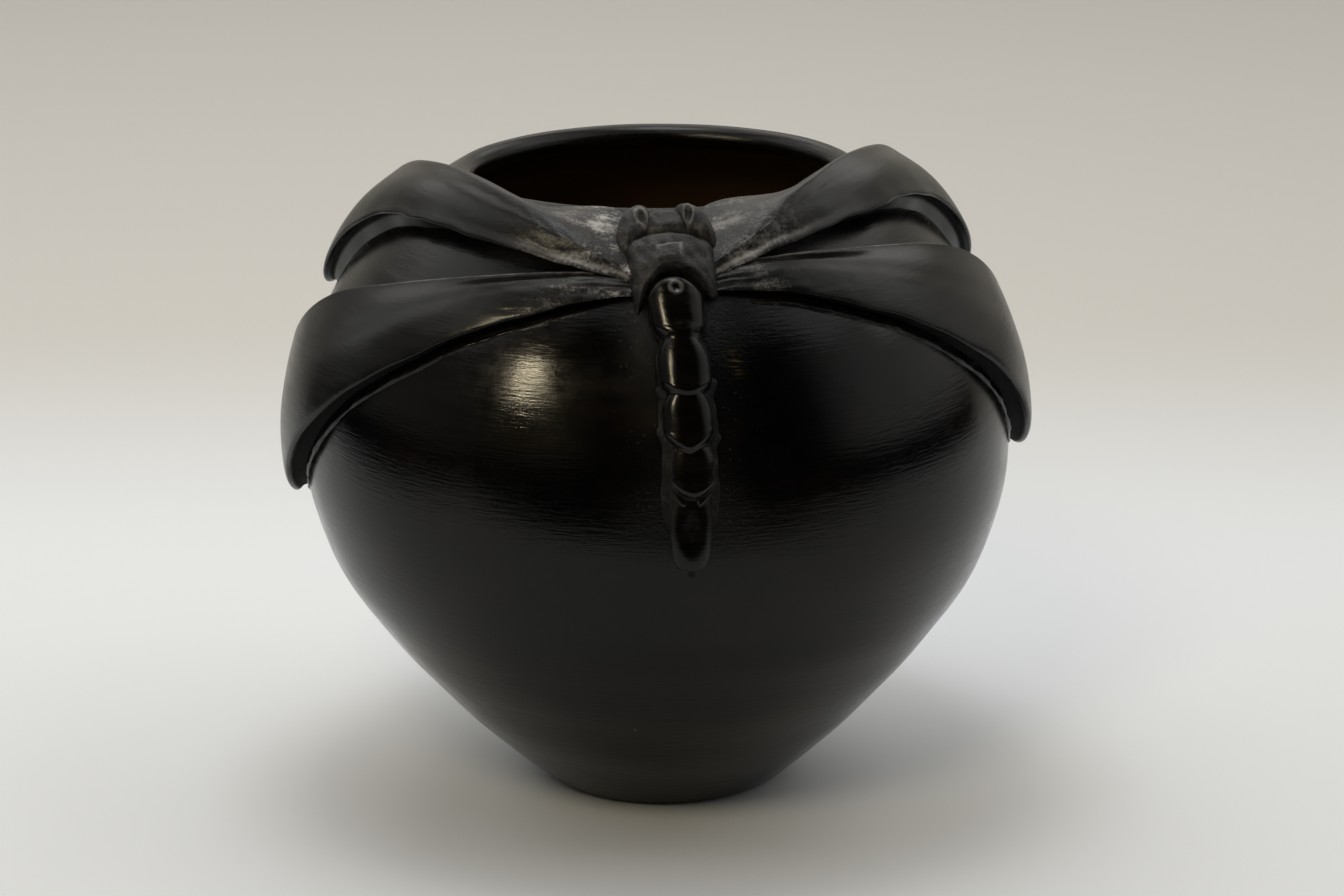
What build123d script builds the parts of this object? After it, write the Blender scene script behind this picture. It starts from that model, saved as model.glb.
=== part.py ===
"""Hand-coiled jar with a dragonfly in relief, laid on its shoulder in clay.

Millimetres, +Z up, the floor at Z = 0 and the dragonfly on the -Y side. The vessel is a base
slab, a stack of lapped coils and a rim coil. The dragonfly is laid on afterwards, piece by piece.
"""

import os
from math import acos, cos, degrees, radians, sin, sqrt, tan

from build123d import *

# Vessel
belly_radius = 75.0         # widest outside radius
belly_height = 77.0         # height of the widest ring above the floor
belly_curve = 63.0          # radius of the round belly in profile
flank_start = 36.0          # degrees below the widest ring where the flatter flank begins
base_radius = 25.5          # outside radius of the flat base
mouth_radius = 38.0         # clear radius inside the lip
wall = 5.5                  # thickness of the coiled wall
floor_thickness = 7.0       # thickness of the base slab in the middle
foot_round = 1.2            # rounding of the edge that the jar stands on

# Coils
base_course = 26.0          # length of wall that the base slab reaches up
rim_course = 9.0            # length of wall that the rim coil makes
coil_count = 6              # coils between the base slab and the rim coil
lap_angle = 28.0            # degrees that each lapped seam leans from square to the wall

# Dragonfly, placed by azimuth (degrees right of the front) and rise (degrees above the belly ring)
figure_azimuth = 2.8        # where its body crosses the shoulder
shoulder_rise = 49.0        # rise of the thorax
figure_lean = 2.9           # degrees that the whole figure leans to the right at the tail
bite = 2.0                  # depth that each piece is worked into the wall before it is trimmed
slip = 0.05                 # film of wet clay between each laid-on piece and the wall

# Forewings
forewing_root = 5.0         # azimuth from the body where the wing starts
forewing_tip = 116.0        # azimuth from the body where it ends
forewing_tip_rise = 40.0
forewing_round_from = 88.0  # azimuth from which the end is rounded
forewing_crest_rise = 61.5  # highest rise of its crest
forewing_crest_at = 62.0    # azimuth of that highest rise
forewing_crest_fall = 0.0050    # degrees of fall for each square degree of azimuth
forewing_lower_rise = 50.5  # highest rise of its lower edge
forewing_lower_at = 53.0
forewing_lower_fall_in = 0.0030     # fall of that edge towards the body, by the square of azimuth
forewing_lower_fall_out = 0.0002    # fall towards the tip, by the cube of azimuth
forewing_back = 3.0         # degrees that the back face falls behind the crest
forewing_lean = 1.2         # degrees that the right wing rises and the left one drops
forewing_lean_at = 30.0     # azimuth from the body where they have done so
forewing_crest_height = 6.3 # how far the crest stands off the wall
forewing_lip_height = 5.6   # how far the lower edge stands off the wall

# Hindwings
hindwing_root = 8.0
hindwing_tip = 102.0
hindwing_tip_rise = 6.0
hindwing_round_from = 66.0
hindwing_upper_rise = 47.2  # highest rise of the upper edge
hindwing_upper_at = 20.0
hindwing_upper_fall = 0.0045
hindwing_lower_rise = 42.5  # rise of the lower edge at the body
hindwing_lower_fall = 0.0069
hindwing_lean = 3.4         # degrees that the right wing rises and the left one drops
hindwing_lean_at = 60.0     # azimuth from the body where they have done so
hindwing_height = 5.2       # how far the lower edge stands off the wall
hindwing_swell = 0.8        # share of that height where the face swells below the upper edge
hindwing_swell_at = 0.3     # share of the breadth from the upper edge to that swell

# All wings
wing_feather = 0.5          # thickness that the upper edge feathers out to
wing_lip = 2.6              # height of the rounded lower lip, along the wall
wing_undercut = 1.0         # depth that the lower lip is undercut
wing_start_share = 0.45     # share of its full height that a wing has at the body
wing_full_at = 30.0         # degrees from the root to the full height
wing_stations = 11          # sections in each loft
wing_end = 0.985            # share of the reach where the last section lies

# Body of the dragonfly: rolled pellets, and how deep the middle of each is sunk below the wall
body_bow = 1.2              # how far the middle of the body bows to the right
thorax_radius = 7.6
thorax_half_width = 9.0
thorax_sink = 2.2
head_rise = 57.3
head_radius = 4.2
head_half_width = 8.2
head_sink = 0.2
eye_rise = 55.6
eye_side = 5.8              # distance of each eye from the middle line
eye_radius = 3.1
eye_half_length = 6.3
eye_splay = 20.0            # degrees that each eye turns outwards
eye_lift = 1.6              # height of the eye's middle above the wall
abdomen_top_rise = 44.5     # rise where the first segment shows below the thorax
abdomen_top_width = 6.0     # half width of the first segment
abdomen_end_width = 4.3     # half width of the tail
width_shrink = 0.5          # how quickly the segments narrow
abdomen_sink = 1.5          # depth of each segment's middle below the wall
segment_count = 4
first_segment_length = 13.6 # length of the first segment that shows
segment_shrink = 0.84       # each segment's length as a share of the one above
segment_lap = 6.0           # length that each segment runs under the one above
segment_tilt = 5.0          # degrees that each segment's lower end is lifted off the next
tail_length = 13.5          # length of the tail that shows
tail_sink = 2.0             # depth of the tail's middle below the wall
dish_radius = 3.6           # hollow pressed in the tail
dish_half_length = 5.6
dish_depth = 0.6
strip_margin = 0.7          # how far the backing strip shows beside the first segment
strip_height = 1.3          # its height in the middle
strip_edge = 0.4            # its height at the edges
strip_short = 4.0           # length that it stops short of the tail's end

# Derived places
belly_offset = belly_radius - belly_curve
belly_centre = (belly_offset, belly_height)
lip_rise = degrees(acos((mouth_radius + wall / 2 - belly_offset) / (belly_curve - wall / 2)))
lean = tan(radians(figure_lean))
shown_lengths = [first_segment_length * segment_shrink ** number for number in range(segment_count)]
abdomen_length = sum(shown_lengths) + tail_length
tail_end_rise = abdomen_top_rise - degrees(abdomen_length / belly_curve)
strip_half_width = abdomen_top_width + strip_margin
strip_arc = degrees((abdomen_length - strip_short) / belly_curve)
strip_middle = abdomen_top_rise - strip_arc / 2

os.makedirs("parts", exist_ok=True)


def profile(rise, depth=0.0):
    """A point (radius, height) on the belly's arc, depth inside its outer face."""
    reach = belly_curve - depth
    return (belly_offset + reach * cos(radians(rise)), belly_height + reach * sin(radians(rise)))


def half_plane(azimuth):
    """The upright plane through the jar's axis at an azimuth: x is the radius and y the height."""
    outward = Vector(sin(radians(azimuth)), -cos(radians(azimuth)), 0)
    return Plane((0, 0, 0), x_dir=outward, z_dir=outward.cross(Vector(0, 0, 1)))


def seat(rise, side=0.0, lift=0.0, turn=0.0, tilt=0.0):
    """A plane lying on the wall on the body's middle line, or to its side: y runs up the wall.

    A turn spins it on the wall, and a tilt digs its upper side into the wall.
    """
    wall_radius, wall_height = profile(rise)
    down_body = (shoulder_rise - rise) / (shoulder_rise - tail_end_rise)
    side += body_bow * sin(radians(180 * min(1.0, max(0.0, down_body))))
    side += lean * belly_curve * radians(shoulder_rise - rise)
    azimuth = figure_azimuth + degrees(side / wall_radius)
    radius, height = profile(rise, -lift)
    origin = Vector(radius * sin(radians(azimuth)), -radius * cos(radians(azimuth)), height)
    level = cos(radians(rise))
    outward = Vector(level * sin(radians(azimuth)), -level * cos(radians(azimuth)), sin(radians(rise)))
    across = Vector(cos(radians(azimuth)), sin(radians(azimuth)), 0)
    across = across.rotate(Axis((0, 0, 0), outward), figure_lean + turn)
    return Plane(origin, x_dir=across, z_dir=outward.rotate(Axis((0, 0, 0), across), -tilt))


def half_pellet(place, radius, half_length):
    """The buried half of a rolled pellet's section, standing on a seat along its y axis."""
    upright = Plane(place.origin, x_dir=place.z_dir * -1, z_dir=place.x_dir)
    straight = half_length - radius
    with BuildSketch(upright) as pellet:
        with BuildLine():
            Line((0, -half_length), (0, half_length))
            CenterArc((0, straight), radius, 90, -90)
            Line((radius, straight), (radius, -straight))
            CenterArc((0, -straight), radius, 0, -90)
        make_face()
    return pellet.sketch


def spin_axis(place):
    return Axis(place.origin, place.y_dir)


# Profile of the vessel: outer face, hollow and the middle of the wall
def flank_line(depth):
    """The belly's arc and the flank below it, at a depth in the wall, from the lip to the base."""
    toe = Vector(base_radius, 0)
    top = Vector(*profile(-flank_start))
    tangent = Vector(-sin(radians(flank_start)), -cos(radians(flank_start)))
    with BuildLine() as outer:
        flank = TangentArc(top, toe, tangent=tangent)
    inward = (flank % 1).rotate(Axis.Z, -90)
    toe_in = toe + inward * depth
    with BuildLine() as line:
        CenterArc(belly_centre, belly_curve - depth, lip_rise, -lip_rise - flank_start)
        TangentArc(profile(-flank_start, depth), (toe_in.X, toe_in.Y), tangent=tangent)
    return line.wire()


outer_line = flank_line(0)
inner_line = flank_line(wall)
middle_line = flank_line(wall / 2)
lip_outer = outer_line @ 0
lip_inner = inner_line @ 0
lip_top = middle_line @ 0 - (middle_line % 0) * (wall / 2)

with BuildSketch(Plane.XZ) as hollow_section:
    with BuildLine():
        add(inner_line)
        Polyline(inner_line @ 1, (0, (inner_line @ 1).Y), (0, lip_inner.Y), lip_inner)
    make_face()
    with Locations((0, floor_thickness / 2)):
        Rectangle(2 * belly_radius, floor_thickness, mode=Mode.SUBTRACT)

with BuildSketch(Plane.XZ) as outer_section:
    with BuildLine():
        add(outer_line)
        ThreePointArc(lip_outer, lip_top, lip_inner)
        Polyline(lip_inner, (0, lip_inner.Y), (0, 0), outer_line @ 1)
    make_face()
    fillet(outer_section.vertices().group_by(Axis.Y)[0].sort_by(Axis.X)[-1], foot_round)

with BuildSketch(Plane.XZ) as wall_section:
    add(outer_section.sketch)
    add(hollow_section.sketch, mode=Mode.SUBTRACT)

with BuildSketch(Plane.XZ) as form_section:
    add(outer_section.sketch)
    offset(amount=slip)
    with Locations((belly_radius, belly_height)):
        Rectangle(2 * belly_radius, 4 * belly_height, mode=Mode.INTERSECT)

with BuildPart() as vessel_form:
    revolve(form_section.sketch, axis=Axis.Z)


# Lapped coils: each course is the stretch of the wall section between two slanted seams
wall_length = middle_line.length
course_length = (wall_length - base_course - rim_course) / coil_count


def seam(number):
    """The inner end, the outer end and the way to the lip of a seam, counted from the base."""
    place = 1 - (base_course + number * course_length) / wall_length
    downward = middle_line % place
    slant = downward.rotate(Axis.Z, 90 + lap_angle) * wall
    return middle_line @ place - slant, middle_line @ place + slant, downward * -1


with BuildPart() as base_slab:
    seam_inner, seam_outer, to_lip = seam(0)
    with BuildSketch(Plane.XZ):
        add(wall_section.sketch)
        with BuildLine():
            Polyline((0, -wall), (belly_radius, -wall), seam_outer, seam_inner, (0, seam_inner.Y), close=True)
        make_face(mode=Mode.INTERSECT)
    revolve(axis=Axis.Z)
base_slab.part.label = "base_slab"
export_step(base_slab.part, "parts/base_slab.step")

for number in range(coil_count):
    with BuildPart() as wall_coil:
        below_inner, below_outer, to_lip = seam(number)
        above_inner, above_outer, to_lip = seam(number + 1)
        with BuildSketch(Plane.XZ):
            add(wall_section.sketch)
            with BuildLine():
                Polyline(below_inner, below_outer, above_outer, above_inner, close=True)
            make_face(mode=Mode.INTERSECT)
        revolve(axis=Axis.Z)
    wall_coil.part.label = f"wall_coil_{number + 1}"
    export_step(wall_coil.part, f"parts/wall_coil_{number + 1}.step")

with BuildPart() as rim_coil:
    seam_inner, seam_outer, to_lip = seam(coil_count)
    past_lip = to_lip * (2 * rim_course)
    with BuildSketch(Plane.XZ):
        add(wall_section.sketch)
        with BuildLine():
            Polyline(seam_inner, seam_outer, seam_outer + past_lip, seam_inner + past_lip, close=True)
        make_face(mode=Mode.INTERSECT)
    revolve(axis=Axis.Z)
rim_coil.part.label = "rim_coil"
export_step(rim_coil.part, "parts/rim_coil.step")

# Thorax, head and eyes
with BuildPart() as thorax:
    place = seat(shoulder_rise, lift=-thorax_sink, turn=90)
    revolve(half_pellet(place, thorax_radius, thorax_half_width), axis=spin_axis(place))
    add(vessel_form.part, mode=Mode.SUBTRACT)
thorax.part.label = "thorax"
export_step(thorax.part, "parts/thorax.step")

with BuildPart() as head:
    place = seat(head_rise, lift=-head_sink, turn=90)
    revolve(half_pellet(place, head_radius, head_half_width), axis=spin_axis(place))
    for neighbour in (vessel_form, thorax):
        add(neighbour.part, mode=Mode.SUBTRACT)
head.part.label = "head"
export_step(head.part, "parts/head.step")

with BuildPart() as eye_left:
    place = seat(eye_rise, side=-eye_side, lift=eye_lift, turn=-eye_splay)
    revolve(half_pellet(place, eye_radius, eye_half_length), axis=spin_axis(place))
    for neighbour in (vessel_form, thorax, head):
        add(neighbour.part, mode=Mode.SUBTRACT)
eye_left.part.label = "eye_left"
export_step(eye_left.part, "parts/eye_left.step")

with BuildPart() as eye_right:
    place = seat(eye_rise, side=eye_side, lift=eye_lift, turn=eye_splay)
    revolve(half_pellet(place, eye_radius, eye_half_length), axis=spin_axis(place))
    for neighbour in (vessel_form, thorax, head):
        add(neighbour.part, mode=Mode.SUBTRACT)
eye_right.part.label = "eye_right"
export_step(eye_right.part, "parts/eye_right.step")


# Wings: lofts through upright sections that stand on the wall
def wing_growth(offset, root):
    """Share of its full height that a wing has at an azimuth from the body."""
    grown = min(1.0, (offset - root) / wing_full_at)
    return wing_start_share + (1 - wing_start_share) * grown * (2 - grown)


def wing_close(offset, round_from, tip):
    """Share of its full breadth that a wing has near its rounded tip."""
    past = max(0.0, (offset - round_from) / (tip - round_from))
    return sqrt(1 - past * past)


def forewing_shape(offset, side):
    """Rise of the back, the crest and the lower edge, and the height of the crest and the lip."""
    close = wing_close(offset, forewing_round_from, forewing_tip)
    inside = max(0.0, forewing_lower_at - offset)
    beyond = max(0.0, offset - forewing_lower_at)
    crest = forewing_crest_rise - forewing_crest_fall * (offset - forewing_crest_at) ** 2
    lower = forewing_lower_rise - forewing_lower_fall_in * inside ** 2 - forewing_lower_fall_out * beyond ** 3
    tilt = side * forewing_lean * min(1.0, offset / forewing_lean_at)
    rises = (crest + forewing_back, crest, lower)
    rises = [forewing_tip_rise + (rise - forewing_tip_rise) * close + tilt for rise in rises]
    growth = wing_growth(offset, forewing_root) * (1 + close) / 2
    return rises, (forewing_crest_height * growth, forewing_lip_height * growth)


def hindwing_shape(offset, side):
    """Rise of the upper edge, the swell and the lower edge, and the height of the swell and the lip."""
    close = wing_close(offset, hindwing_round_from, hindwing_tip)
    upper = hindwing_upper_rise - hindwing_upper_fall * (offset - hindwing_upper_at) ** 2
    lower = hindwing_lower_rise - hindwing_lower_fall * offset ** 2
    swell = upper + (lower - upper) * hindwing_swell_at
    tilt = side * hindwing_lean * min(1.0, offset / hindwing_lean_at)
    rises = (upper, swell, lower)
    rises = [hindwing_tip_rise + (rise - hindwing_tip_rise) * close + tilt for rise in rises]
    growth = wing_growth(offset, hindwing_root) * (1 + close) / 2
    return rises, (hindwing_height * hindwing_swell * growth, hindwing_height * growth)


def wing_offsets(root, tip):
    """Azimuths of a wing's sections, closer together towards its tip."""
    last = wing_stations - 1
    return [root + (tip - root) * wing_end * sin(radians(90 * step / last)) for step in range(wing_stations)]


def wing_section(azimuth, rises, heights):
    """One closed section: the face from the upper edge to the lip, the undercut lip and the foot."""
    upper, crest, lower = rises
    crest_height, lip_height = heights
    lip_top = lower + degrees(wing_lip / belly_curve) / 2
    foot = lower + degrees(wing_undercut / belly_curve)
    face = (crest + lip_top) / 2
    with BuildSketch(half_plane(azimuth)) as section:
        with BuildLine():
            Spline(
                profile(upper, -wing_feather),
                profile(crest, -crest_height),
                profile(face, -(crest_height + lip_height) / 2),
                profile(lip_top, -lip_height),
            )
            ThreePointArc(profile(lip_top, -lip_height), profile(lower, -lip_height / 2), profile(foot, bite))
            ThreePointArc(profile(foot, bite), profile((foot + upper) / 2, bite), profile(upper, bite))
            Line(profile(upper, bite), profile(upper, -wing_feather))
        make_face()
    return section.sketch


with BuildPart() as forewing_left:
    offsets = wing_offsets(forewing_root, forewing_tip)
    loft([wing_section(figure_azimuth - offset, *forewing_shape(offset, -1)) for offset in offsets])
    add(vessel_form.part, mode=Mode.SUBTRACT)
    for neighbour in (thorax, head, eye_left):
        add(neighbour.part, mode=Mode.SUBTRACT)
forewing_left.part.label = "forewing_left"
export_step(forewing_left.part, "parts/forewing_left.step")

with BuildPart() as forewing_right:
    offsets = wing_offsets(forewing_root, forewing_tip)
    loft([wing_section(figure_azimuth + offset, *forewing_shape(offset, 1)) for offset in offsets])
    add(vessel_form.part, mode=Mode.SUBTRACT)
    for neighbour in (thorax, head, eye_right):
        add(neighbour.part, mode=Mode.SUBTRACT)
forewing_right.part.label = "forewing_right"
export_step(forewing_right.part, "parts/forewing_right.step")

with BuildPart() as hindwing_left:
    offsets = wing_offsets(hindwing_root, hindwing_tip)
    loft([wing_section(figure_azimuth - offset, *hindwing_shape(offset, -1)) for offset in offsets])
    add(vessel_form.part, mode=Mode.SUBTRACT)
    for neighbour in (thorax, forewing_left):
        add(neighbour.part, mode=Mode.SUBTRACT)
hindwing_left.part.label = "hindwing_left"
export_step(hindwing_left.part, "parts/hindwing_left.step")

with BuildPart() as hindwing_right:
    offsets = wing_offsets(hindwing_root, hindwing_tip)
    loft([wing_section(figure_azimuth + offset, *hindwing_shape(offset, 1)) for offset in offsets])
    add(vessel_form.part, mode=Mode.SUBTRACT)
    for neighbour in (thorax, forewing_right):
        add(neighbour.part, mode=Mode.SUBTRACT)
hindwing_right.part.label = "hindwing_right"
export_step(hindwing_right.part, "parts/hindwing_right.step")

wings = (forewing_left, forewing_right, hindwing_left, hindwing_right)

# Abdomen: a flattened strip, then pellets lapped down it like shingles
with BuildPart() as abdomen_strip:
    place = seat(strip_middle, side=-body_bow / 2, lift=-belly_curve)
    upper_end = place.z_dir.rotate(Axis(place.origin, place.x_dir), -strip_arc / 2)
    with BuildSketch(Plane(place.origin, x_dir=place.x_dir, z_dir=place.x_dir.cross(upper_end))):
        with BuildLine():
            Polyline(
                (-strip_half_width, belly_curve + strip_edge),
                (-strip_half_width, belly_curve - bite),
                (strip_half_width, belly_curve - bite),
                (strip_half_width, belly_curve + strip_edge),
            )
            ThreePointArc(
                (strip_half_width, belly_curve + strip_edge),
                (0, belly_curve + strip_height),
                (-strip_half_width, belly_curve + strip_edge),
            )
        make_face()
    revolve(axis=Axis(place.origin, place.x_dir), revolution_arc=strip_arc)
    for neighbour in (vessel_form, thorax, *wings):
        add(neighbour.part, mode=Mode.SUBTRACT)
abdomen_strip.part.label = "abdomen_strip"
export_step(abdomen_strip.part, "parts/abdomen_strip.step")

piece_above = thorax
segment_top = abdomen_top_rise
for number in range(segment_count):
    shown = first_segment_length * segment_shrink ** number
    half_width = abdomen_end_width + (abdomen_top_width - abdomen_end_width) * width_shrink ** number
    middle = segment_top - degrees((shown - segment_lap) / 2 / belly_curve)
    with BuildPart() as abdomen_segment:
        place = seat(middle, lift=-abdomen_sink, tilt=segment_tilt)
        revolve(half_pellet(place, half_width, (shown + segment_lap) / 2), axis=spin_axis(place))
        for neighbour in (vessel_form, abdomen_strip, *wings, piece_above):
            add(neighbour.part, mode=Mode.SUBTRACT)
    abdomen_segment.part.label = f"abdomen_segment_{number + 1}"
    export_step(abdomen_segment.part, f"parts/abdomen_segment_{number + 1}.step")
    piece_above = abdomen_segment
    segment_top -= degrees(shown / belly_curve)

with BuildPart() as tail:
    middle = segment_top - degrees((tail_length - segment_lap) / 2 / belly_curve)
    place = seat(middle, lift=-tail_sink, tilt=segment_tilt)
    revolve(half_pellet(place, abdomen_end_width, (tail_length + segment_lap) / 2), axis=spin_axis(place))
    for neighbour in (vessel_form, abdomen_strip, piece_above):
        add(neighbour.part, mode=Mode.SUBTRACT)
    dish_lift = abdomen_end_width - tail_sink - dish_depth + dish_radius
    dish_seat = seat(middle - degrees(segment_lap / 2 / belly_curve), lift=dish_lift)
    dish_place = Plane(dish_seat.origin, x_dir=dish_seat.x_dir, z_dir=dish_seat.z_dir * -1)
    revolve(
        half_pellet(dish_place, dish_radius, dish_half_length),
        axis=spin_axis(dish_place),
        mode=Mode.SUBTRACT,
    )
tail.part.label = "tail"
export_step(tail.part, "parts/tail.step")
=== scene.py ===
# %% [markdown]
# # A black burnished jar with a dragonfly on its shoulder
# The solids of the jar are already built at their real size. Here they get the look of the fired pot:
# uneven hand-built walls, soft clay edges, and a polish that was rubbed on with a stone.
# The frame is loaded first, because every later piece takes its place from it.

# %% Load the frame
import math
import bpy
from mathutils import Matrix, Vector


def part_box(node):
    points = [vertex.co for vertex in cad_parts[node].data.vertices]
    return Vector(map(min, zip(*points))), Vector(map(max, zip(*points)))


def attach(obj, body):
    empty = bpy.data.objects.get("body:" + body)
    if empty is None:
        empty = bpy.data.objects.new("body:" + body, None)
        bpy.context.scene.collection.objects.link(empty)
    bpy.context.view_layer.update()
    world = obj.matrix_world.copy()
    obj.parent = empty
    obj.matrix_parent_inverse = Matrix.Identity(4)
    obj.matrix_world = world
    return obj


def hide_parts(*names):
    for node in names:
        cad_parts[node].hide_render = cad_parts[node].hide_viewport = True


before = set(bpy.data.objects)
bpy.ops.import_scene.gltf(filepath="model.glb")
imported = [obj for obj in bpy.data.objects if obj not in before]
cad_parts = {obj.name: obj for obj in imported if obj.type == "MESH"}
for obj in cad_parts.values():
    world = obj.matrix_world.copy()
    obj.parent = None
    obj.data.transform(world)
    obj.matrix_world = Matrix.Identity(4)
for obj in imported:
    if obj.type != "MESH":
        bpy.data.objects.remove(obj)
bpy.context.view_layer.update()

from types import SimpleNamespace

import bpy
import numpy as np
from mathutils import Vector

# %% [markdown]
# ## Sizes of the pot
# A pot like this has few sizes: a round belly, a flatter flank below it, a small base and a mouth.
# The belly is one arc, so any place on it is known from two angles: the azimuth around the jar,
# counted from the front, and the rise, counted up from the widest ring. Sizes are in millimetres,
# and only the last step, when a mesh is made, turns them into metres.

# %% Sizes of the pot
METRES = 0.001
widest_low, widest_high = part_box("wall_coil_4")
belly_radius = (widest_high.x - widest_low.x) / 2 / METRES
belly_curve = 63.0
belly_height = 77.0
belly_offset = belly_radius - belly_curve
flank_start = 36.0
base_radius = 25.5
mouth_radius = 38.0
wall = 5.5
floor_thickness = 7.0
lip_rise = math.degrees(math.acos((mouth_radius + wall / 2 - belly_offset) / (belly_curve - wall / 2)))
print("belly radius", round(belly_radius, 2), "rise of the lip", round(lip_rise, 1))


def belly_point(rise, height=0.0):
    """Radius and height above the floor of a place on the belly, standing off the wall by a height."""
    reach = belly_curve + height
    return belly_offset + reach * np.cos(np.radians(rise)), belly_height + reach * np.sin(np.radians(rise))


def on_wall(azimuth, rise, height):
    """A point in space over the belly wall."""
    radius, level = belly_point(rise, height)
    turn = np.radians(azimuth)
    return np.stack(np.broadcast_arrays(radius * np.sin(turn), -radius * np.cos(turn), level), -1)


# %% [markdown]
# ## The hand of the potter
# A thrown pot is round, but a coiled pot is only nearly round: this one leans a little, its mouth is
# tilted, and its belly swells more on one side. Moving each vertex of a finished mesh by hand would be
# slow and different each time. One function that bends space does it for all pieces alike, so that
# the dragonfly keeps its seat on the wall.

# %% The hand of the potter
base_shift = 1.6
rim_tilt = 0.30
shrink = 0.0038
rim_tilt_from = 95.0
rim_tilt_to = 132.0
swells = [(2, 0.0022, 0.6, 0.010), (3, 0.0016, 2.1, 0.024), (5, 0.0008, 4.0, 0.050)]


def ease(low, high, value):
    """0 below low, 1 above high, and a smooth step between."""
    share = np.clip((value - low) / (high - low), 0.0, 1.0)
    return share * share * (3 - 2 * share)


def hand_built(points):
    """Bends the true form a little: a lean to the right at the foot, a tilted mouth and a slow wobble."""
    x, y, z = points[..., 0], points[..., 1], points[..., 2]
    turn = np.arctan2(x, -y)
    wobble = sum(
        size * np.sin(waves * turn + phase + climb * z) for waves, size, phase, climb in swells) - shrink
    low = np.clip(1 - z / belly_height, 0, 1)
    lean_x = base_shift * low ** 1.5
    lift = rim_tilt * x / mouth_radius * ease(rim_tilt_from, rim_tilt_to, z)
    return np.stack([x * (1 + wobble) + lean_x, y * (1 + wobble), z + lift], -1)


print("largest wobble in mm:", round(belly_radius * sum(size for _, size, _, _ in swells), 2))

# %% [markdown]
# ## One way to make a skin
# Every piece here is a closed skin: rings of points, one after another, closed at both ends. The jar is
# rings around its axis, a wing is rings around its length, and a lump is rings around its top.
# So one function makes them all. It also stores marks on the points, which the finish reads later:
# the run of the polishing strokes, where the clay stayed matte and where it is scuffed.

# %% One way to make a skin
def place_in_scene(name, data):
    """A mesh, lamp or camera is only data. An object puts it into the scene."""
    thing = bpy.data.objects.new(name, data)
    bpy.context.scene.collection.objects.link(thing)
    return thing


def skin(name, rings, **marks):
    """Joins rings (rows, around, xyz) into one closed mesh and keeps each mark as a point attribute."""
    rows, around = rings.shape[:2]
    points = hand_built(np.vstack([rings.reshape(-1, 3), rings[0].mean(0), rings[-1].mean(0)]))
    row = np.arange(rows - 1)[:, None] * around
    here = np.arange(around)[None]
    after = (here + 1) % around
    corners = (row + here, row + after, row + around + after, row + around + here)
    quads = np.stack(np.broadcast_arrays(*corners), -1).reshape(-1, 4)
    last = (rows - 1) * around
    first_fan = np.stack([after[0], here[0], np.full(around, rows * around)], -1)
    last_fan = np.stack([last + here[0], last + after[0], np.full(around, rows * around + 1)], -1)
    tips = points[quads]
    crosses = np.cross(tips[:, 1], tips[:, 2]) + np.cross(tips[:, 2], tips[:, 3])
    volume = np.einsum("ij,ij->", tips[:, 0], crosses)
    faces = quads.tolist() + first_fan.tolist() + last_fan.tolist()
    if volume < 0:
        faces = [face[::-1] for face in faces]
    mesh = bpy.data.meshes.new(name)
    mesh.from_pydata((points * METRES).tolist(), [], faces)
    mesh.shade_smooth()
    for mark, values in marks.items():
        values = np.broadcast_to(values, rings.shape if mark == "grain" else rings.shape[:2])
        ends = [values[end].reshape(around, -1).mean(0) for end in (0, -1)]
        flat = np.vstack([values.reshape(rows * around, -1), *ends])
        kind, field = ("FLOAT_VECTOR", "vector") if mark == "grain" else ("FLOAT", "value")
        attribute = mesh.attributes.new(mark, kind, "POINT")
        attribute.data.foreach_set(field, flat.astype(np.float32).ravel())
    print(name, "points:", len(mesh.vertices))
    return place_in_scene(name, mesh)


# %% [markdown]
# ## The jar
# The jar is a profile turned once around its axis: underside, foot, flank, belly, lip, inside, floor.
# A screw modifier could turn it, but then each point would not know where it is, and the finish needs
# that. So the profile is sampled by its own arcs, and each sample becomes a ring.

# %% Profile of the jar
flank_normal = np.array([math.cos(math.radians(flank_start)), -math.sin(math.radians(flank_start))])
flank_top = np.array(belly_point(-flank_start))
flank_chord = flank_top - np.array([base_radius, 0.0])
flank_curve = flank_chord @ flank_chord / (2 * flank_normal @ flank_chord)
flank_centre = flank_top - flank_curve * flank_normal


def flank_line(depth, lowest, count):
    """The flank from a height up to the belly, at a depth inside the wall."""
    reach = flank_curve - depth
    start = math.asin((lowest - flank_centre[1]) / reach)
    angles = np.linspace(start, -math.radians(flank_start), count)
    return flank_centre + reach * np.stack([np.cos(angles), np.sin(angles)], -1)


def belly_line(depth, count):
    """The belly from the flank up to the lip, at a depth inside the wall."""
    rises = np.linspace(-flank_start, lip_rise, count)
    return np.stack(belly_point(rises, -depth), -1)


def bend(start, corner, end, count):
    """A quadratic curve that rounds a corner."""
    share = np.linspace(0, 1, count)[:, None]
    return (1 - share) ** 2 * start + 2 * share * (1 - share) * corner + share ** 2 * end


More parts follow.
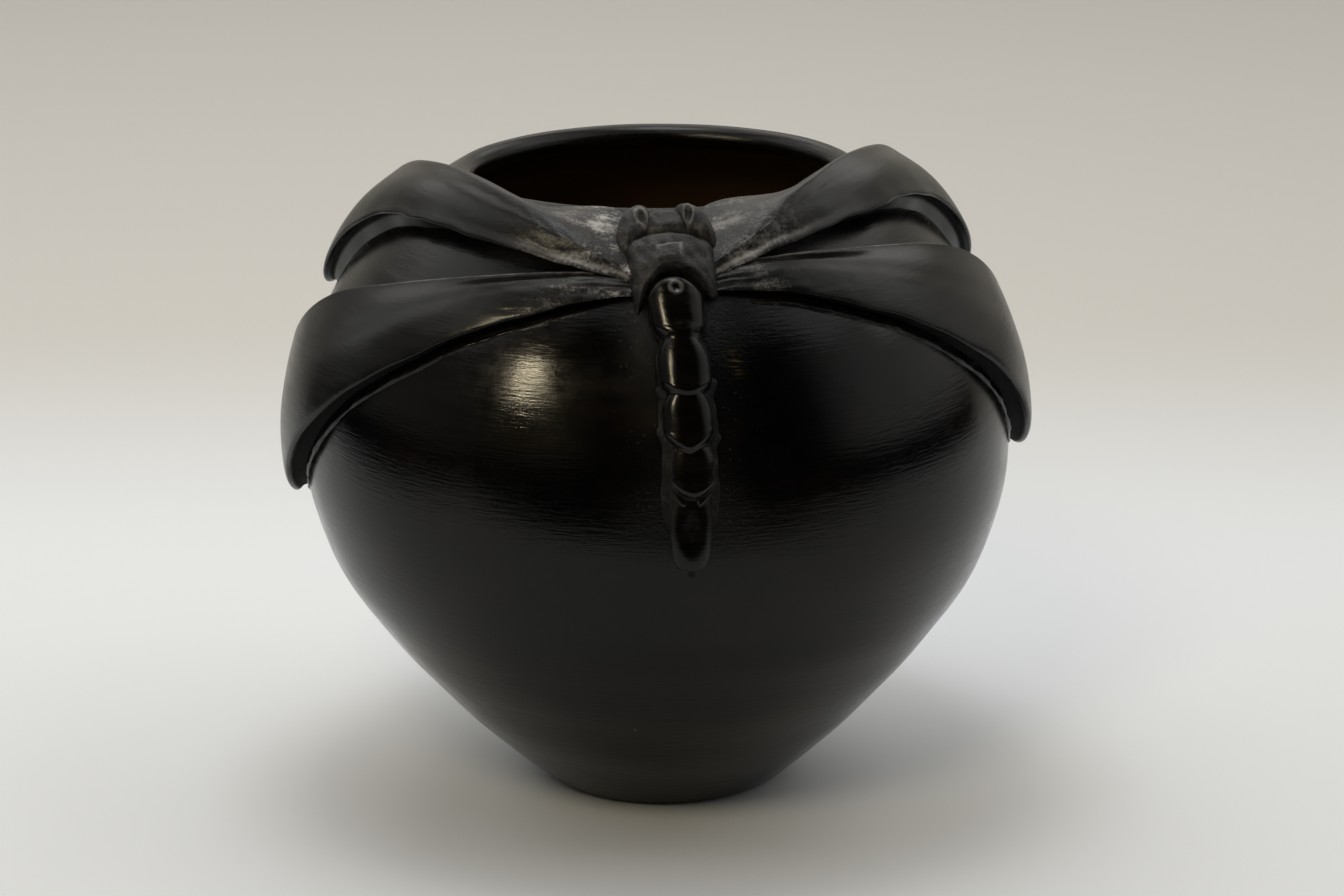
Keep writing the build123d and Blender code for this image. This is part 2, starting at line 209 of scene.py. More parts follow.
foot_round = 1.6
floor_round = 7.0
base_hollow = 0.4
axis_gap = 0.5
belly_rows = 220
inner_rows = 90
flank = flank_line(0.0, foot_round, 60)
inner_flank = flank_line(wall, floor_thickness + floor_round, 40)
lip_angles = np.radians(lip_rise + np.linspace(0, 180, 26))[1:-1]
lip_middle = np.array(belly_point(lip_rise, -wall / 2))
lip = lip_middle + wall / 2 * np.stack([np.cos(lip_angles), np.sin(lip_angles)], -1)
under = np.linspace(axis_gap, base_radius - foot_round, 14)
underside = np.stack([under, base_hollow * (1 - (under / under[-1]) ** 2)], -1)
foot = bend(underside[-1], np.array([base_radius, 0.0]), flank[0], 8)[1:-1]
floor_edge = np.array([inner_flank[0][0] - floor_round, floor_thickness])
floor_corner = np.array([inner_flank[0][0] - 0.4 * floor_round, floor_thickness])
floor_bend = bend(inner_flank[0], floor_corner, floor_edge, 12)[1:]
floor_run = np.linspace(floor_edge[0], axis_gap, 12)[1:]
floor_flat = np.stack([floor_run, np.full_like(floor_run, floor_thickness)], -1)
profile = np.vstack([
    underside, foot, flank[:-1], belly_line(0.0, belly_rows), lip,
    belly_line(wall, inner_rows)[::-1], inner_flank[::-1][1:], floor_bend, floor_flat,
])
outer_rows = len(underside) + len(foot) + len(flank) - 1 + belly_rows + len(lip) // 2
course = np.concatenate([[0], np.cumsum(np.linalg.norm(np.diff(profile, axis=0), axis=1))])
print("profile points:", len(profile), "length in mm:", round(course[-1], 1))

# %% [markdown]
# The stone that polished the wall left it very slightly faceted, in level bands as wide as a coil.
# They are far too shallow to see as a shape, but they bend the reflections, which is what tells the
# eye that the wall is not machined. They fade out at the foot, where the jar has to stand.

# %% Rings of the jar
around_jar = 640
coil_pitch = 21.0
coil_ripple = 0.06
stone_ripple = 0.035
azimuths = np.linspace(-180, 180, around_jar, endpoint=False)
tangent = np.gradient(profile, axis=0)
tangent /= np.linalg.norm(tangent, axis=1)[:, None]
normal = np.stack([tangent[:, 1], -tangent[:, 0]], -1)
turn = np.radians(azimuths)[None]
along = course[:, None]
ripple = coil_ripple * np.sin(2 * math.pi * along / coil_pitch + 0.8 * np.sin(2 * turn))
ripple = ripple + stone_ripple * np.sin(9 * turn + along / 5.0) * np.sin(4 * turn - along / 13.0)
ripple = ripple * ease(4.0, 14.0, profile[:, 1])[:, None]
ring_radius = profile[:, 0, None] + normal[:, 0, None] * ripple
ring_level = np.broadcast_to(profile[:, 1, None] + normal[:, 1, None] * ripple, ring_radius.shape)
jar_rings = np.stack([ring_radius * np.sin(turn), -ring_radius * np.cos(turn), ring_level], -1)
print("rings:", jar_rings.shape)

# %% [markdown]
# ## The dragonfly's own map
# The figure is laid down the wall, leaning a little to the right and bowed in the middle. It is easiest to
# shape on a flat map: so many millimetres to the side of its middle line, so many down from the
# thorax, and so high off the wall. One function wraps that map onto the belly.

# %% The dragonfly's own map
figure_azimuth = 2.8
shoulder_rise = 49.0
figure_lean = math.tan(math.radians(2.9))
figure_length = 61.2
body_bow = 1.2


def middle_shift(down):
    """How far the middle line of the body lies to the right of the thorax, at a distance below it."""
    return body_bow * np.sin(np.pi * np.clip(down / figure_length, 0, 1)) + figure_lean * down


def on_figure(side, down, height):
    """A place on the dragonfly's map, wrapped onto the wall."""
    rise = shoulder_rise - np.degrees(down / belly_curve)
    shifted = side + middle_shift(down)
    azimuth = figure_azimuth + np.degrees(shifted / belly_point(rise)[0])
    return on_wall(azimuth, rise, height)


def figure_place(azimuth, rise):
    """The other way: the place on the map of a point of the wall."""
    down = np.radians(shoulder_rise - rise) * belly_curve
    return np.radians(azimuth - figure_azimuth) * belly_point(rise)[0] - middle_shift(down), down


print("tail end is", round(middle_shift(figure_length), 1), "mm to the right of the thorax")

# %% [markdown]
# The polishing stone could not reach everywhere. Around the head and on the neck between the wings the
# clay stayed grey and dry, above the wings it is only satin, and close beside the abdomen it is pitted.
# Those places are worked out here from the map and stored on the jar's points as numbers from 0 to 1.

# %% Where the stone did not reach
hindwing_lower = (42.5, 0.0, 0.0069)


def arched(offset, top, at, fall):
    """Rise of an edge that is highest at one azimuth and falls off to both sides."""
    return top - fall * (offset - at) ** 2


jar_level = np.broadcast_to(profile[:, 1, None], ring_radius.shape)
jar_course = np.broadcast_to(course[:, None], ring_radius.shape)
jar_rise = np.degrees(np.arctan2(profile[:, 1] - belly_height, profile[:, 0] - belly_offset))[:, None]
jar_rise = np.broadcast_to(jar_rise, ring_radius.shape)
jar_azimuth = np.broadcast_to(azimuths[None], ring_radius.shape)
outside = np.broadcast_to((np.arange(len(profile)) < outer_rows)[:, None], ring_radius.shape)
jar_side, jar_down = figure_place(jar_azimuth, jar_rise)
turned = np.abs(jar_azimuth - figure_azimuth)
neck = ease(46.0, 52.0, jar_rise) * (1 - ease(24.0, 52.0, turned))
neck = neck * (1 - 0.25 * ease(6.0, 20.0, jar_azimuth - figure_azimuth))
above_wings = ease(-1.0, 4.0, jar_rise - arched(turned, *hindwing_lower)) * ease(0.0, 12.0, jar_rise)
beside = (1 - ease(5.0, 19.0, np.abs(jar_side))) * ease(2.0, 8.0, jar_down) * (1 - ease(48.0, 66.0, jar_down))
# painted glint: a small patch right of the abdomen, streaked gold by the scratches
glint_patch = np.exp(-((jar_side - 10.4) / 1.1) ** 2 - ((jar_down - 21.5) / 2.4) ** 2)
jar_marks = dict(
    grain=np.stack([jar_rings[..., 0], jar_rings[..., 1], jar_course], -1) * METRES,
    matte=np.where(outside, neck, 0.0),
    scuff=np.where(outside, neck * (1 - ease(8.0, 30.0, turned)), 0.0),
    dull=np.where(outside, above_wings * (1 - 0.45 * ease(62.0, 74.0, jar_rise)), 0.6),
    pits=np.where(outside, np.maximum(0.42 * beside, 0.34 * neck), 0.2),
    ochre=np.where(outside, glint_patch, 0.0),
    inside=np.where(outside, 0.0, 1 - ease(112.0, 128.0, jar_level)),
)
jar = skin("burnished_jar", jar_rings, **jar_marks)

# %% [markdown]
# ## The wings
# Each wing is a ribbon of clay laid on the wall and pressed at its edges. Its section is a closed curve
# through a few control places: the back, the crest, the face, the lip, the groove under the lip, and the
# buried underside. A uniform B-spline is used, because it never overshoots and rounds corners softly,
# as wet clay does. The same section is repeated along the wing with its sizes changing.

# %% Soft closed curves
def soft_loop(controls, count):
    """A closed cubic B-spline: controls (stations, places, 2) become (stations, count, 2)."""
    places = controls.shape[1]
    position = np.linspace(0, places, count, endpoint=False)
    start = np.floor(position).astype(int)
    share = position - start
    weights = [
        (1 - share) ** 3 / 6,
        (3 * share ** 3 - 6 * share ** 2 + 4) / 6,
        (-3 * share ** 3 + 3 * share ** 2 + 3 * share + 1) / 6,
        share ** 3 / 6,
    ]
    mixing = np.zeros((count, places))
    for step, weight in enumerate(weights):
        np.add.at(mixing, (np.arange(count), (start + step - 1) % places), weight)
    return np.einsum("cp,spk->sck", mixing, controls)


def arc(length):
    """Degrees of rise that a length along the wall takes up."""
    return np.degrees(length / belly_curve)


# %% [markdown]
# The two forewings arch up over the shoulder and stand proud of the mouth. Their crest and lower
# edge are plain curves of the azimuth, with the left wing lying a little lower than the right.

# %% Shape of a forewing
wing_start_share = 0.32
wing_full_at = 30.0
forewing = dict(root=6.5, tip=116.0, tip_rise=40.0, round_from=88.0, lean=1.2, lean_at=30.0)
forewing_crest = (61.5, 62.0, 0.0050)
edge_rise, edge_at, edge_fall_in, edge_fall_out = 50.5, 53.0, 0.0030, 0.0002
tip_close = 0.9995
forewing_crest_height = 6.1
forewing_lip_height = 5.6


def wing_close(offset, wing):
    """Share of its full breadth that a wing has near its rounded tip."""
    past = np.clip((offset - wing["round_from"]) / (wing["tip"] - wing["round_from"]), 0, 1)
    return np.sqrt(1 - tip_close * past * past)


def wing_growth(offset, wing):
    """Share of its full height that a wing has at an azimuth from the body."""
    grown = np.clip((offset - wing["root"]) / wing_full_at, 0, 1)
    grown = wing_start_share + (1 - wing_start_share) * grown * (2 - grown)
    return grown * (0.3 + 0.7 * wing_close(offset, wing))


def set_on_wall(rises, offset, side, wing):
    """Closes both edges towards the tip and tilts the wing to its own side."""
    close = wing_close(offset, wing)
    tilt = side * wing["lean"] * np.clip(offset / wing["lean_at"], 0, 1)
    return [wing["tip_rise"] + (rise - wing["tip_rise"]) * close + tilt for rise in rises]


def forewing_edges(offset, side):
    """Rise of the crest and of the lower edge."""
    crest = arched(offset, *forewing_crest)
    inward, outward = np.clip(edge_at - offset, 0, None), np.clip(offset - edge_at, 0, None)
    lower = edge_rise - edge_fall_in * inward ** 2 - edge_fall_out * outward ** 3
    return set_on_wall([crest, lower], offset, side, forewing)


# %% Shape of a hindwing
hindwing = dict(root=7.0, tip=102.5, tip_rise=6.0, round_from=66.0, lean=3.4, lean_at=60.0)
hindwing_upper = (47.2, 20.0, 0.0045)
hindwing_height = 5.2


def hindwing_edges(offset, side):
    """Rise of the upper and of the lower edge."""
    edges = [arched(offset, *edge) for edge in (hindwing_upper, hindwing_lower)]
    return set_on_wall(edges, offset, side, hindwing)


# %% [markdown]
# All four wings share one lower edge: a rolled lip, and under it the thickness of the ribbon, cut back with
# a tool so that it lies in shadow. Under a hindwing the tool pushed out a fine bead of clay along the wall.
# Towards the end of a forewing the lower half of the thickness stands out as a band instead. The tables give
# the places of lip and cut as shares: how far in, for the cut how far out with the band, and how high.

# %% The lower edge that all wings share
bite = 1.6
lip_roll = 2.0
bead_gap = 1.6
least_bead = 0.05
lip_places = [(1.0, 0.98), (0.45, 0.95), (0.10, 0.90), (0.0, 0.80)]
cut_places = [
    (0.45, 0.55, 0.69), (0.80, 0.30, 0.56),
    (1.0, -0.45, 0.42), (1.0, -0.85, 0.26), (1.0, -1.15, 0.10),
]


def lower_edge(lower, lip_height, close, cut, band, bead):
    """Control places (rise, height) from the face down to the wall. Cut, band and bead are in mm."""
    hollow = cut * close
    foot = hollow - 1.5 * band
    roll = lip_roll * close
    gap = bead_gap * (0.1 + 0.9 * close)
    lip = [(lower + arc(far * roll), high * lip_height) for far, high in lip_places]
    face = [(lower + arc(far * hollow + out * band), high * lip_height) for far, out, high in cut_places]
    return lip + face + [
        (lower + arc(foot), -0.25),
        (lower + arc(np.minimum(foot, 0) - 0.35 * gap), -0.25),
        (lower - arc(0.75 * gap), 1.1 * bead - 0.2 * (bead < least_bead)),
        (lower - arc(1.05 * gap), 1.3 * bead - 0.3 * (bead < least_bead)),
        (lower - arc(1.5 * gap), -0.3),
        (lower - arc(1.9 * gap), -0.9),
        (lower - arc(1.2 * gap), -bite),
    ]


def face_places(shares, upper, lower, upper_height, lower_height, hollow, close):
    """Control places across the face of a wing, hollowed a little between its edges."""
    end = lower + arc(lip_roll * close)
    places = []
    for share in shares:
        sag = hollow * math.sin(math.pi * share)
        height = upper_height + (lower_height - upper_height) * share - sag
        places.append((upper + (end - upper) * share, height))
    return places


# %% [markdown]
# A wing's rings run from its root to its tip. Near the tip they are packed closer and shrink to almost
# nothing, which rounds the end off like a fingertip. Fine wrinkles fan out from the root, where the ribbon
# was pinched against the thorax.

# %% Rings along a wing
wing_stations = 230
ring_points = 176
wrinkle_height = 0.14
wrinkle_reach = 15.0


def station_offsets(wing):
    """Azimuths from the body at which the rings of a wing stand."""
    share = np.linspace(0, 1, wing_stations)
    return wing["root"] + (wing["tip"] - wing["root"]) * np.sin(share * math.pi / 2)


def hand_cut(offset, side):
    """How far a knife in the hand strays from the line along a wing, in mm."""
    return 0.18 * np.sin(0.29 * offset + 1.7 * side) + 0.10 * np.sin(0.63 * offset + 0.6 - side)


def wing_rings(loop, offsets, wing, side):
    """Wraps the section loops onto the wall and wrinkles them near the root."""
    run = offsets[:, None]
    around = np.linspace(0, 2 * math.pi, ring_points, endpoint=False)[None]
    fade = np.exp(-(run - wing["root"]) / wrinkle_reach)
    wander = 0.5 * np.sin(0.23 * run) + 0.3 * np.sin(0.61 * run + side)
    wrinkle = wrinkle_height * fade * np.sin(9 * around + 2 * wander) * np.sin(0.9 * run + 5 * around)
    raised = np.where(loop[..., 1] > 0.3, loop[..., 1] + wrinkle, loop[..., 1])
    return on_wall(figure_azimuth + side * run, loop[..., 0], raised)


# %% [markdown]
# The marks of a wing follow its section: the control places count around it, so the undercut and the worn
# edge are known by their number. The undercut gets painted shade, and the worn edge a painted highlight as
# well as wear. Near the body the clay is dry, and more so on the left.

# %% Marks of a wing
def bump(distance, width):
    """A soft round bump, 1 in the middle."""
    return np.exp(-(distance / width) ** 2)


def wing_marks(loop, offsets, side, places, dry_to, cut_from, band, worn_at, worn_reach):
    """Strokes along the wing, dryness and scuffs near the body, painted shade in the undercut, and the worn
    edge with a painted highlight.
    """
    run = np.radians(offsets) * belly_radius
    across = np.radians(loop[..., 0]) * belly_curve
    grain = np.stack(np.broadcast_arrays(run[:, None], 0 * across, across), -1) * METRES
    near = np.broadcast_to(1 - ease(4.0, dry_to, offsets)[:, None], loop.shape[:2])
    place = np.linspace(0, places, ring_points, endpoint=False)[None]
    # painted shade: the undercut below the lip is darkened, except where the band stands out
    soot = ease(cut_from - 0.7, cut_from + 0.8, place) * (1 - ease(cut_from + 5.2, cut_from + 7.0, place))
    soot = soot * (1 - band[:, None] * ease(cut_from + 1.2, cut_from + 2.4, place))
    # wear and a painted highlight along one line of the section, the lip or the crease
    worn = bump(place - worn_at, 0.55) * (1 - ease(*worn_reach, offsets)[:, None])
    dry = near * (1 - soot) * (0.85 - 0.30 * side)
    return dict(grain=grain, matte=0.32 * dry, scuff=dry, dull=0.85, soot=soot,
                pits=np.maximum(0.06 + 0.30 * near, 0.6 * soot), worn=worn)


def make_wing(name, wing, side, offsets, controls, **where):
    """A wing from the control places of its section, each a rise and a height for every station."""
    sections = np.stack([np.stack(np.broadcast_arrays(*place), -1) for place in controls], 1)
    loop = soft_loop(sections, ring_points)
    marks = wing_marks(loop, offsets, side, len(controls), **where)
    return skin(name, wing_rings(loop, offsets, wing, side), **marks)


# %% Make the forewings
forewing_back = 3.4
root_back = 9.0
forewing_bulge = 0.75
forewing_cut = 2.3
band_from = 50.0
band_full = 84.0
band_out = 1.35


def make_forewing(name, side):
    """Its section: the back, the crest, the bulging face, the lower edge and the buried middle."""
    offsets = station_offsets(forewing)
    crest, lower = forewing_edges(offsets, side)
    close = wing_close(offsets, forewing)
    lower = lower + arc(hand_cut(offsets, side)) * close
    growth = wing_growth(offsets, forewing)
    top = forewing_crest_height * growth
    lip_height = forewing_lip_height * growth * (0.70 + 0.30 * ease(20.0, 60.0, offsets))
    back = forewing_back * (0.05 + 0.95 * close) + root_back * (1 - ease(8.0, 42.0, offsets))
    band = band_out * ease(band_from, band_full, offsets) * close
    controls = [
        (crest + 1.25 * back, -bite),
        (crest + 1.15 * back, -0.2),
        (crest + 0.90 * back, 0.16 * top),
        (crest + 0.48 * back, 0.60 * top),
        (crest + arc(0.9 * close), 0.95 * top),
        (crest - arc(0.4 * close), 1.00 * top),
        (crest - arc(1.9 * close), 0.98 * top),
    ]
    controls += face_places((0.42, 0.62, 0.82), crest, lower, top, lip_height, -forewing_bulge * close, close)
    controls += lower_edge(lower, lip_height, close, forewing_cut, band, 0 * band)
    controls += [((crest + lower) / 2, -bite)]
    return make_wing(
        name, forewing, side, offsets, controls,
        dry_to=38.0, cut_from=14, band=band / band_out, worn_at=10.6, worn_reach=(16.0, 40.0))


left_forewing = make_forewing("left_forewing", -1)
right_forewing = make_forewing("right_forewing", 1)

# %% [markdown]
# The hindwings lie flatter. In front, their upper edge is feathered out to a fine crease, and towards the
# tips it grows into a full rounded step, so its height is eased from one to the other.

# %% Make the hindwings
crease_height = 0.8
step_from = 34.0
step_full = 84.0
hindwing_cut = 1.3
bead_height = 0.50


def make_hindwing(name, side):
    """Its section: the upper edge, the face, the lower edge with its bead and the buried middle."""
    offsets = station_offsets(hindwing)
    upper, lower = hindwing_edges(offsets, side)
    close = wing_close(offsets, hindwing)
    lower = lower + arc(hand_cut(offsets + 40.0, side)) * close
    lip_height = hindwing_height * wing_growth(offsets, hindwing) * (0.62 + 0.38 * ease(30.0, 80.0, offsets))
    crease = crease_height * (1.5 - 0.5 * ease(16.0, 40.0, offsets))
    step = crease + (0.92 * lip_height - crease) * ease(step_from, step_full, offsets)
    step = np.minimum(step, lip_height)
    bead = bead_height * ease(10.0, 34.0, offsets) * close
    bead = bead * (0.72 + 0.22 * np.sin(0.9 * offsets) + 0.16 * np.sin(2.3 * offsets + side))
    controls = [
        (upper + arc(2.0 * close), -bite),
        (upper + arc(0.7 * close), -0.25),
        (upper + arc(0.25 * close), 0.25 * step),
        (upper + arc(0.08 * close), 0.90 * step),
        (upper, 1.06 * step),
        (upper - arc(0.12 * close), 1.08 * step),
        (upper - arc(0.9 * close), 1.06 * step),
    ]
    swell = step + (lip_height - step) * 0.55
    controls += face_places((0.26, 0.40), upper, lower, swell, lip_height, 0.0, close)
    controls += face_places(
        (0.58, 0.76, 0.90), upper, lower, 1.02 * lip_height, 0.98 * lip_height, -0.12, close)
    controls += lower_edge(lower, lip_height, close, hindwing_cut, 0 * bead, bead)
    controls += [((upper + lower) / 2, -bite)]
    return make_wing(
        name, hindwing, side, offsets, controls,
        dry_to=30.0, cut_from=16, band=0 * bead, worn_at=4.4, worn_reach=(40.0, 84.0))


left_hindwing = make_hindwing("left_hindwing", -1)
right_hindwing = make_hindwing("right_hindwing", 1)

# %% [markdown]
# ## The body
# The body is a row of small lumps, each pressed onto the one before. A lump is a dome over an outline: rings
# that shrink from the outline to its top, with a height for each place of the map. Dimples and rims
# are added to that height, so they are real shape and not only a painted shadow.

# %% How a lump is made
lump_around = 144
lump_rings = 74
lump_sink = 1.2


def unevenness(side, down):
    """What fingers leave on wet clay: slow waves of about a tenth of a millimetre."""
    slow = np.sin(1.1 * side + 0.7 * down) * np.sin(0.9 * down - 0.6 * side + 1.0)
    return 0.11 * slow + 0.05 * np.sin(2.3 * side - 1.7 * down)


def lump(name, centre, outline, height, sharpness, edge_wear_and_highlight, **marks):
    """A dome on the figure's map: outline gives (side, down) by angle, height the top at each place."""
    angles = np.linspace(0, 2 * math.pi, lump_around, endpoint=False)
    share = np.sin(np.linspace(0.02, 1, lump_rings) * math.pi / 2)[:, None]
    edge_side, edge_down = outline(angles)
    side = centre[0] + share * edge_side[None]
    down = centre[1] + share * edge_down[None]
    dome = np.clip(1 - share ** sharpness, 0, None) ** 0.5
    level = (height(side, down) + unevenness(side, down) + lump_sink) * dome - lump_sink
    buried = on_figure(centre[0] + 0.5 * edge_side, centre[1] + 0.5 * edge_down, -1.5 * lump_sink)
    rings = np.concatenate([on_figure(side, down, level), buried[None]])
    side, down = np.vstack([side, edge_side]), np.vstack([down, edge_down])
    grain = np.stack([side, 0 * side, down], -1) * METRES
    # painted shade: darker along the outline, where the lump meets the wall and the lump before it
    soot = np.append(ease(0.86, 0.99, share[:, 0]), 1.0)[:, None]
    # wear and a painted highlight, where the piece's own function puts them
    worn = np.vstack([edge_wear_and_highlight(side[:-1], down[:-1]), 0 * angles])
    return skin(name, rings, grain=grain, soot=soot, worn=worn, **marks)


def oval(half_width, half_length, square):
    """An outline that runs from round, at 2, to squarish."""
    def outline(angles):
        across = np.sign(np.sin(angles)) * np.abs(np.sin(angles)) ** (2 / square)
        along = np.sign(np.cos(angles)) * np.abs(np.cos(angles)) ** (2 / square)
        return half_width * across, half_length * along
    return outline


# %% [markdown]
# Where a piece is more than one dome, rings around a top are not enough. The thorax is a saddle that
# reaches down on both sides of the abdomen, and the abdomen is a row of barrels. Such a piece is made from
# one height over the map, row by row. Where parts run into each other the height is the highest of them,
# and a high power mean takes that maximum softly, so that they flow together like wet clay.

# %% How a relief is made
dip_depth, dip_reach = 0.5, 0.3
bottom_points = 24


def highest(parts, softness):
    """The highest of some heights, with the seams between them rounded."""
    return sum(np.clip(part, 0, None) ** softness for part in parts) ** (1 / softness)


def relief(name, start, end, rows, columns, reach, height, marks):
    """A piece made from a height over the map. It dips into the wall where the height is nothing."""
    down = np.linspace(start, end, rows)[:, None]
    edge = reach(down)
    side = edge * np.sin(np.linspace(-math.pi / 2, math.pi / 2, columns))[None]
    down = np.broadcast_to(down, side.shape)
    level = height(side, down)
    level = level - dip_depth * bump(level, dip_reach)
    bottom = np.linspace(1, -1, bottom_points)[None] * edge
    side = np.concatenate([side, bottom], 1)
    level = np.concatenate([level, np.full(bottom.shape, -lump_sink)], 1)
    down = np.broadcast_to(down[:, :1], side.shape)
    grain = np.stack([side, 0 * side, down], -1) * METRES
    return skin(name, on_figure(side, down, level), grain=grain, **marks(side, down, level))


# %% [markdown]
# The saddle of the thorax is arched at the top and notched below, where the abdomen begins. A small square
# plate is left standing in its middle. Its edges are worn and get a painted highlight, brightest at the top.
# No stone reached the thorax, the head or the eyes, so they share one set of dry marks.

# %% Thorax
dry = dict(matte=0.30, scuff=0.10, dull=0.65, pits=0.42)
saddle_half, saddle_top = 8.9, 5.4
plate_half_width, plate_half_length, plate_rise = 2.2, 1.5, 0.42


def thorax_plate(side, down):
    """How far a place is from the middle of the raised plate: 1 on its edge."""
    across = np.abs(side + 0.10 * down) / plate_half_width
    return np.maximum(across, np.abs(down + 0.14 * side - 0.6) / plate_half_length)


def rounded(inside, radius):
    """0 at an edge, rising like a quarter circle to 1 at a radius inside it."""
    return np.sqrt(np.clip(1 - (1 - np.clip(inside / radius, 0, 1)) ** 2, 0, 1))


def thorax_height(side, down):
    """The saddle with its arched lower edge, the plate in its middle and a dent at each side of the plate."""
    below = np.clip(down, 0, None)
    flank = rounded(saddle_half - 0.06 * below - np.abs(side - 0.2), 2.6)
    upper = rounded(down + 5.4 - 2.6 * (side / saddle_half) ** 2, 2.4)
    lower = rounded(4.0 + 0.115 * (side - 0.4) ** 2 - down, 1.3) * rounded(10.2 - 0.20 * side - down, 3.6)
    dome = saddle_top - 0.020 * side ** 2 - 0.02 * (down - 0.5) ** 2
    dents = 0.35 * bump(np.hypot((side - 5.0) / 2.3, (down - 1.2) / 2.5), 1.0)
    dents = dents + 0.25 * bump(np.hypot((side + 5.2) / 2.0, (down - 0.6) / 2.4), 1.0)
    plate = 1 - ease(0.84, 1.08, thorax_plate(side, down))
    dome = (dome - dents) * (1 - plate) + (saddle_top + plate_rise + 0.05 * down) * plate
    whole = dome * flank * upper * lower
    return whole + unevenness(side, down) * ease(0.3, 1.5, whole)


def thorax_marks(side, down, level):
    """Dry all over, with painted shade where it meets the wall. The edge of the plate is worn and carries a
    painted highlight, strongest at its top.
    """
    edge = bump(thorax_plate(side, down) - 0.93, 0.17)
    # wear and a painted highlight on the edge of the plate, strongest at the top
    worn = 1.4 * edge * (0.25 + 0.75 * ease(1.0, -0.4, down)) * ease(2.0, 3.0, level)
    # painted shade where the thorax sinks to the wall
    return dict(dry, soot=1 - ease(0.2, 1.6, level), worn=worn)


def thorax_reach(down):
    """Half the breadth of the sheet that the thorax is raised from."""
    return 11.4 * np.sqrt(np.clip(1 - np.abs((down - 3.5) / 11.0) ** 6, 0.003, 1))


thorax = relief(
    "thorax_lump", start=-7.4, end=14.4, rows=210, columns=200,
    reach=thorax_reach, height=thorax_height, marks=thorax_marks)

# %% [markdown]
# The head is a short bridge between two long eyes. Each eye is a bean that leans outwards and carries a
# small ring pressed into its upper end. The eyes reach up past the lip.

# %% Head and eyes
head_top, eye_top = 3.9, 5.2
head_sharpness, eye_sharpness = 4.2, 2.8


def head_height(side, down):
    """Nearly level, falling a little to the sides."""
    return head_top - 0.02 * side ** 2 + 0.05 * (down + 8.3)


def head_wear_and_highlight(side, down):
    """Its lower edge is lightened, partly as wear and partly as a painted highlight."""
    return 0.6 * bump(down + 5.7, 0.5)


head = lump(
    "head_bridge", (0.4, -8.3), oval(5.2, 3.5, 3.2), head_height, head_sharpness, head_wear_and_highlight, **dry)


def bean(half_length, half_width, lean, curl):
    """A long outline turned by lean degrees and curled to one side."""
    def outline(angles):
        along = half_length * np.cos(angles)
        across = half_width * np.sin(angles) * (1 - 0.16 * np.cos(angles)) + curl * (along / half_length) ** 2
        cosine, sine = math.cos(math.radians(lean)), math.sin(math.radians(lean))
        return across * cosine + along * sine, along * cosine - across * sine
    return outline


def eye_ring(ring, ring_size):
    """How far a place is from the middle of the ring in an eye: 1 on the ring."""
    return lambda side, down: np.hypot((side - ring[0]) / ring_size[0], (down - ring[1]) / ring_size[1])


def make_eye(name, centre, outline, distance):
    """A bean, higher at its upper end, with a ring pressed into it. The ring's edge is lightened, partly as
    wear and partly as a painted highlight.
    """
    def height(side, down):
        off = distance(side, down)
        return eye_top - 0.14 * (down + 9.0) - 0.75 * bump(off, 0.62) + 0.42 * bump(off - 1.1, 0.32)

    def edge_wear_and_highlight(side, down):
        return 0.7 * bump(distance(side, down) - 1.1, 0.30)

    return lump(name, centre, outline, height, eye_sharpness, edge_wear_and_highlight, **dry)


left_eye = make_eye(
    "left_eye", (-6.7, -6.4), bean(7.5, 3.1, -23.0, 0.6), eye_ring((-4.5, -7.9), (1.1, 1.5)))
right_eye = make_eye(
    "right_eye", (6.3, -7.1), bean(7.2, 2.8, 29.0, -0.6), eye_ring((4.3, -8.5), (0.8, 1.9)))

# %% [markdown]
# The abdomen was pressed from one roll of clay: a flat strip with four barrels lapped down it like
# shingles, and a dished tail. It is a relief too, so each of its parts is given here as a height. A row of
# segments gives the sizes of a barrel, in the order in which segment_height takes them.

# %% Heights of the abdomen
segments = [
    (4.4, 3.2, 3.6, 18.6, 6.5, 0.20, 0.40, 5.0, 2.6, 2.1, -0.2),
    (13.0, 0.0, 17.6, 29.2, 5.4, 0.04, 0.0, 4.3, 2.2, 1.9, 0.0),
    (24.0, 0.0, 28.0, 39.6, 5.2, 0.04, 0.0, 3.6, 3.4, 1.5, -0.2),
    (34.0, 0.0, 38.0, 48.2, 4.6, 0.04, 0.0, 2.7, 2.2, 1.8, 0.4),
]
collars = [
    ((-2.6, 30.0), (-5.0, 27.0)), ((2.6, 29.8), (5.2, 25.6)),
    ((-1.8, 40.3), (-5.3, 34.8)), ((1.8, 40.0), (5.2, 36.2)),
    ((-1.6, 48.6), (-4.6, 45.0)), ((1.6, 48.6), (4.8, 45.4)),
]
collar_width = 1.1


def segment_height(side, down, start, arch, opens, end, half, taper, fall, top, lap, curve, shift):
    """A barrel that starts under the one above, with a waist at both ends and a low rim at the lower one."""
    along = np.clip((down - opens) / (end - opens), 0, 1)
    across = np.abs(side - shift) / (half * (1 - taper * along) * (1 - 0.24 * np.abs(2 * along - 1) ** 3))
    inside = end - lap * across ** curve - down
    barrel = np.clip(1 - across ** 2.3, 0, 1) ** 0.5
    begun = rounded(down - start - arch * across ** 2, 2.8)
    top = top * (1 + fall * (0.5 - along))
    return top * barrel * rounded(inside, 2.6) * begun + 0.25 * bump(inside - 1.7, 0.8) * barrel * begun


def tail_height(side, down):
    """A rounded tongue with a shallow dish in it."""
    reach = (np.abs(side / 4.1) ** 2.5 + np.abs((down - 54.2) / 8.6) ** 3.5) ** 0.4
    tilt = 1.55 + 0.075 * np.clip(down - 48.0, 0, 12.0)
    dish = 1 - ease(0.15, 1.0, np.hypot(side / 2.7, (down - 54.8) / 6.4))
    return tilt * np.clip(1 - reach ** 3, 0, 1) ** 0.5 - 0.55 * dish


